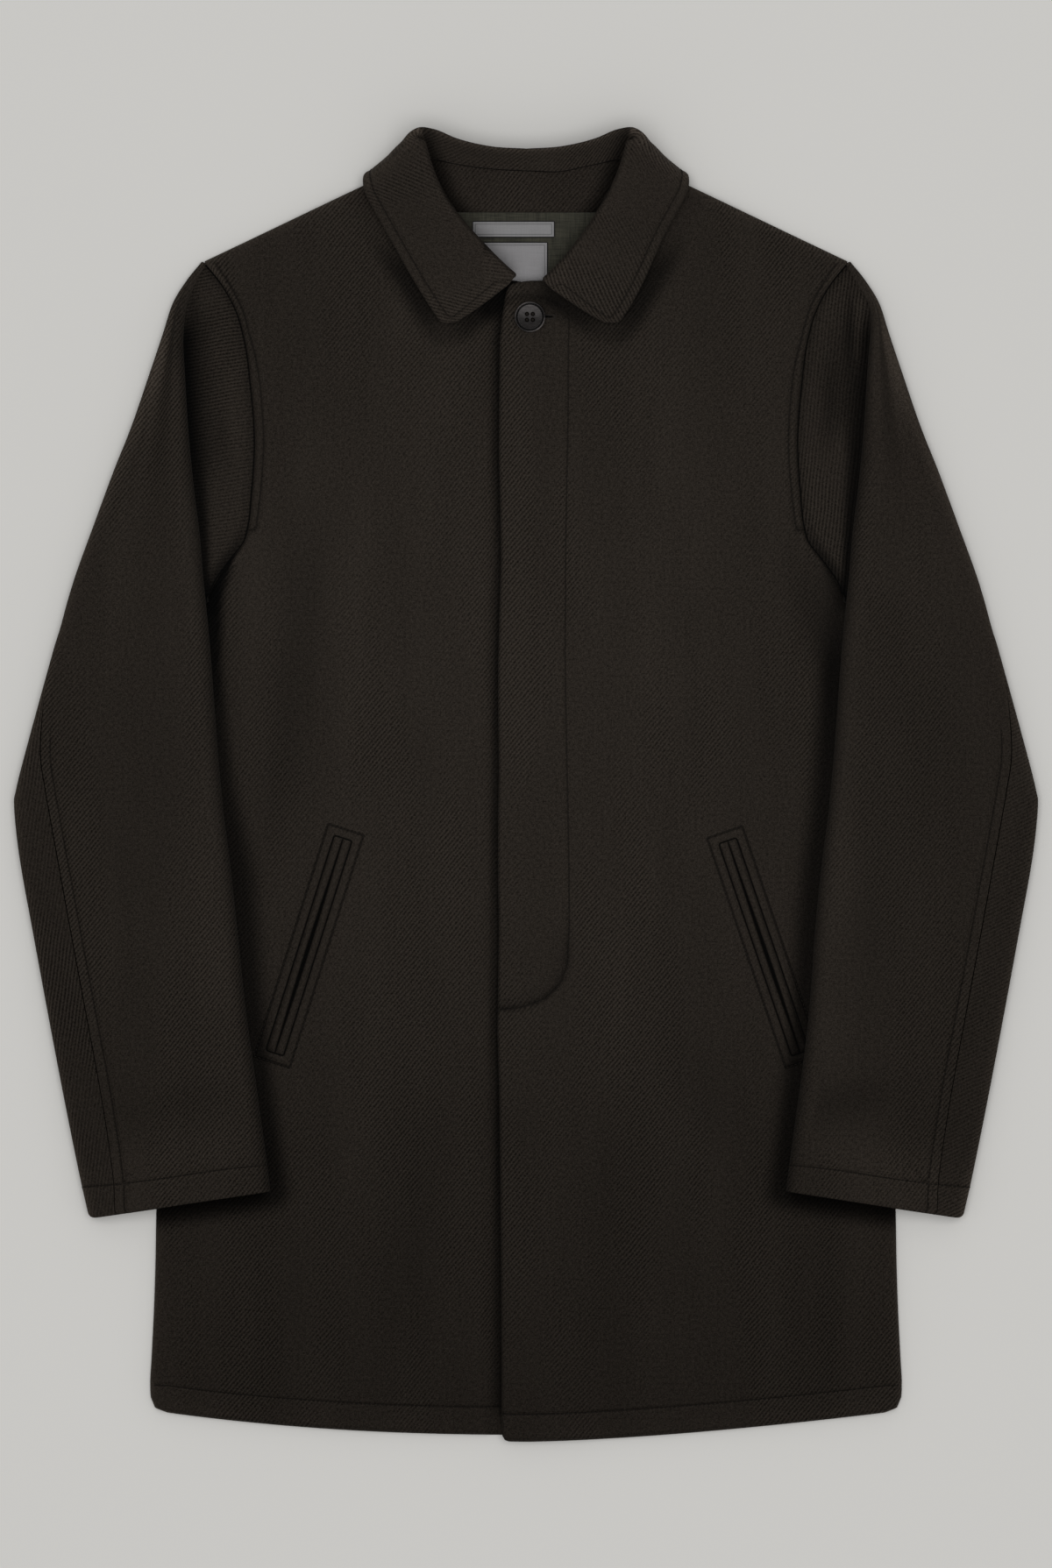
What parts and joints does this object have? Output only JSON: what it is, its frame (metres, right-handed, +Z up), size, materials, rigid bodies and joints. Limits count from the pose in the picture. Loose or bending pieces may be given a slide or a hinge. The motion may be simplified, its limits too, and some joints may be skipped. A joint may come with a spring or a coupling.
{
  "type": "mackintosh coat",
  "caption": "Fly-front mackintosh in dark heavy twill, buttoned at the neck and laid out flat on its back, with a turned-down collar, set-in sleeves and slanted welt pockets.",
  "frame": {"origin": "on the surface the coat lies on, under the middle of its outline", "axes": "+Z up from the surface to the fronts, +Y from the hem to the collar, +X from the wearer's right to the wearer's left"},
  "size_m": [0.7342, 0.9447, 0.0356],
  "materials": {
    "shell_twill": "dark olive brown heavy twill with a dry, slightly napped face",
    "lining_cloth": "dark grey green plain-woven lining",
    "label_cloth": "grey woven label",
    "horn": "dark horn-like, satin polish"
  },
  "bodies": {
    "root": {"back": "shell_twill", "front_right": "shell_twill", "front_left": "shell_twill", "top_sleeve_right": "shell_twill", "top_sleeve_left": "shell_twill", "under_sleeve_right": "shell_twill", "under_sleeve_left": "shell_twill", "collar": "shell_twill", "neck_facing": "shell_twill", "lining_back": "lining_cloth", "label_small": "label_cloth", "label_large": "label_cloth", "pocket_right_outer": "shell_twill", "pocket_right_inner": "shell_twill", "pocket_left_outer": "shell_twill", "pocket_left_inner": "shell_twill", "button": "horn"}
  },
  "joints": []
}
